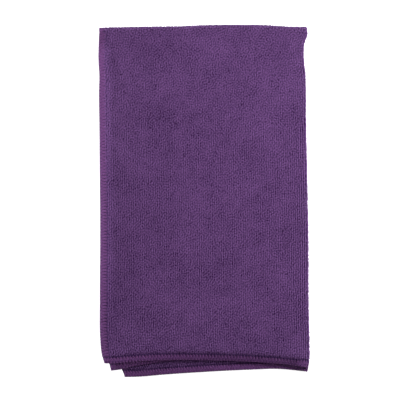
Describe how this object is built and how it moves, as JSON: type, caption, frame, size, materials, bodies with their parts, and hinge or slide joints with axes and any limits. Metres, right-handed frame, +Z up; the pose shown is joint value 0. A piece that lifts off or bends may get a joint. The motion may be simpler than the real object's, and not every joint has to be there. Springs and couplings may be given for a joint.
{
  "type": "folded quick dry towel",
  "caption": "Travel towel of looped terry with overlocked edges, folded lengthwise and then crosswise into a flat rectangle that opens out on its creases.",
  "frame": {"origin": "middle of the folded towel's footprint, on the surface that it lies on", "axes": "+X towards the lengthwise folds, +Y towards the crosswise folds, +Z up through the four plies"},
  "size_m": [0.23, 0.386, 0.0105],
  "materials": {
    "terry": "looped pile, matt",
    "looper_thread": "fine twisted thread, slight sheen",
    "needle_thread": "fine twisted thread, slight sheen"
  },
  "bodies": {
    "front_outer": {"front_outer_cloth": "terry", "front_outer_side_overlock": "looper_thread", "front_outer_end_overlock": "looper_thread", "front_outer_side_needle_threads": "needle_thread", "front_outer_end_needle_threads": "needle_thread"},
    "front_inner": {"front_inner_cloth": "terry", "front_inner_side_overlock": "looper_thread", "front_inner_end_overlock": "looper_thread", "front_inner_side_needle_threads": "needle_thread", "front_inner_end_needle_threads": "needle_thread", "right_fold_front_cloth": "terry", "right_fold_front_overlock": "looper_thread"},
    "back_inner": {"back_inner_cloth": "terry", "back_inner_side_overlock": "looper_thread", "back_inner_end_overlock": "looper_thread", "back_inner_side_needle_threads": "needle_thread", "back_inner_end_needle_threads": "needle_thread", "right_fold_back_cloth": "terry", "right_fold_back_overlock": "looper_thread", "top_fold_inner_cloth": "terry", "top_fold_inner_overlock": "looper_thread", "centre_fold_cloth": "terry"},
    "back_outer": {"back_outer_cloth": "terry", "back_outer_side_overlock": "looper_thread", "back_outer_end_overlock": "looper_thread", "back_outer_side_needle_threads": "needle_thread", "back_outer_end_needle_threads": "needle_thread", "top_fold_outer_cloth": "terry", "top_fold_outer_overlock": "looper_thread"}
  },
  "joints": [
    {"name": "lengthwise_fold_back", "type": "hinge", "parent": "back_inner", "child": "back_outer", "pos_m": [0.11245, 0, 0.00255], "axis": [0, -1, 0], "range_deg": [0, 179.9], "deforming": ["right_fold_back_cloth", "right_fold_back_overlock"]},
    {"name": "crosswise_fold", "type": "hinge", "parent": "back_inner", "child": "front_inner", "pos_m": [0, 0.18775, 0.00525], "axis": [-1, 0, 0], "range_deg": [0, 179.9], "deforming": ["top_fold_inner_cloth", "top_fold_inner_overlock", "top_fold_outer_cloth", "top_fold_outer_overlock", "centre_fold_cloth"]},
    {"name": "lengthwise_fold_front", "type": "hinge", "parent": "front_inner", "child": "front_outer", "pos_m": [0.11245, 0, 0.00795], "axis": [0, 1, 0], "range_deg": [0, 179.9], "deforming": ["right_fold_front_cloth", "right_fold_front_overlock"]}
  ],
  "couplings": [
    {"joint": "lengthwise_fold_front", "follows": "lengthwise_fold_back", "ratio": 1}
  ]
}
